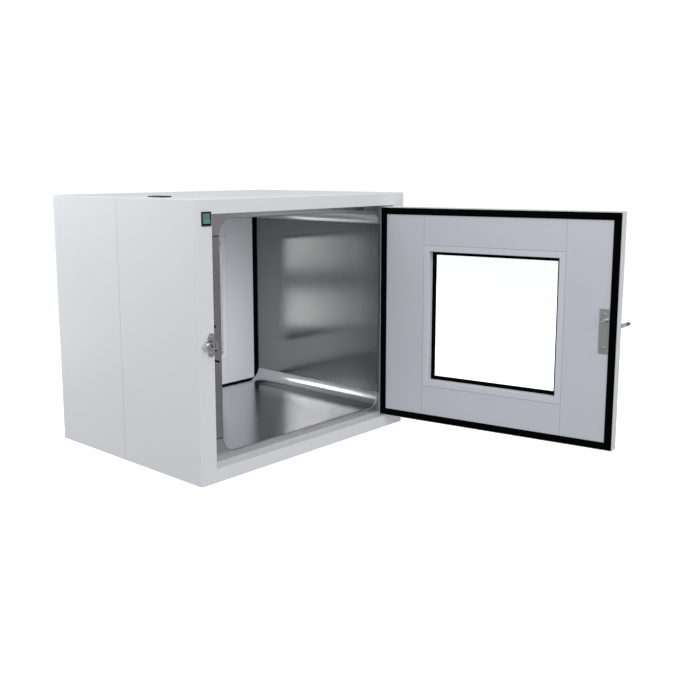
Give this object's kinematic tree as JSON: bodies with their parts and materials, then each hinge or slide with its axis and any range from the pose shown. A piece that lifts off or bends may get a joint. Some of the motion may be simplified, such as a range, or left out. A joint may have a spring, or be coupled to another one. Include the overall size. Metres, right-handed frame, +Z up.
{
  "type": "pass box",
  "caption": "Table-top cleanroom pass box: painted cabinet with a coved stainless chamber, windowed doors front and back, lever latches and a mechanical door interlock.",
  "frame": {"origin": "middle of the cabinet's underside; the open front door is left out of the centring", "axes": "+X to the right as seen from the front, +Y to the back, +Z up; the front face looks along -Y"},
  "size_m": [0.7577, 1.1447, 0.604],
  "materials": {
    "paint": "satin light grey powder coat",
    "stainless": "fine satin stainless steel",
    "zinc_steel": "zinc plated",
    "fasteners": "bright steel",
    "plated_casting": "satin chrome plated zinc casting",
    "bronze": "sintered bronze",
    "black_plastic": "fine texture",
    "green_plastic": "translucent green",
    "white_plastic": "matt white",
    "white_paint": "white powder coat",
    "tube_glass": "phosphor coated glass",
    "lens_plastic": "frosted acrylic",
    "glass": "clear toughened glass",
    "black_rubber": "matt"
  },
  "bodies": {
    "cabinet": {"front_casing": "paint", "rear_casing": "paint", "floor_tray": "stainless", "ceiling_tray": "stainless", "left_wall_panel": "stainless", "right_wall_panel": "stainless", "front_hinge_pivots": "zinc_steel", "rear_hinge_pivots": "zinc_steel", "front_keeper": "plated_casting", "rear_keeper": "plated_casting", "keeper_screws": "fasteners", "switch_housing": "black_plastic", "power_inlet": "black_plastic", "inlet_screws": "fasteners", "lamp_housing": "white_paint", "lamp_holders": "white_plastic", "lamp_tube": "tube_glass", "lamp_lens": "lens_plastic", "lamp_ballast": "white_paint", "interlock_brackets": "zinc_steel", "interlock_bushes": "bronze"},
    "front_door": {"front_door_pan": "paint", "front_door_stiffeners": "zinc_steel", "front_door_stiles": "paint", "front_door_rails": "paint", "front_window_frame": "paint", "front_window_glass": "glass", "front_window_seals": "black_rubber", "front_door_gasket": "black_rubber", "front_pivot_blocks": "zinc_steel", "front_pivot_bushes": "bronze", "front_interlock_plate": "stainless", "front_plate_screws": "fasteners", "front_latch_base": "plated_casting", "front_latch_bolt": "fasteners", "front_latch_screws": "fasteners"},
    "rear_door": {"rear_door_pan": "paint", "rear_door_stiffeners": "zinc_steel", "rear_door_stiles": "paint", "rear_door_rails": "paint", "rear_window_frame": "paint", "rear_window_glass": "glass", "rear_window_seals": "black_rubber", "rear_door_gasket": "black_rubber", "rear_pivot_blocks": "zinc_steel", "rear_pivot_bushes": "bronze", "rear_interlock_plate": "stainless", "rear_plate_screws": "fasteners", "rear_latch_base": "plated_casting", "rear_latch_bolt": "fasteners", "rear_latch_screws": "fasteners"},
    "front_latch": {"front_latch_lever": "plated_casting"},
    "rear_latch": {"rear_latch_lever": "plated_casting"},
    "interlock": {"interlock_shaft": "zinc_steel", "interlock_arm_front": "zinc_steel", "interlock_arm_rear": "zinc_steel"},
    "rocker": {"switch_rocker": "green_plastic"}
  },
  "joints": [
    {"name": "front_door_hinge", "type": "hinge", "parent": "cabinet", "child": "front_door", "pos_m": [0.287, -0.258, 0.3], "axis": [0, 0, 1], "range_deg": [-100, 8]},
    {"name": "rear_door_hinge", "type": "hinge", "parent": "cabinet", "child": "rear_door", "pos_m": [0.287, 0.258, 0.3], "axis": [0, 0, -1], "range_deg": [0, 108]},
    {"name": "front_latch_turn", "type": "hinge", "parent": "front_door", "child": "front_latch", "pos_m": [0.38285, -0.80161, 0.3], "axis": [-0.9848, -0.1736, 0], "range_deg": [-24, 66]},
    {"name": "rear_latch_turn", "type": "hinge", "parent": "rear_door", "child": "rear_latch", "pos_m": [-0.265, 0.275, 0.3], "axis": [0, 1, 0], "range_deg": [-24, 66]},
    {"name": "interlock_turn", "type": "hinge", "parent": "cabinet", "child": "interlock", "pos_m": [-0.305, 0, 0.329], "axis": [0, -1, 0], "range_deg": [-14, 14]},
    {"name": "rocker_tilt", "type": "hinge", "parent": "cabinet", "child": "rocker", "pos_m": [-0.3126, -0.26, 0.5595], "axis": [1, 0, 0], "range_deg": [0, 14]}
  ]
}
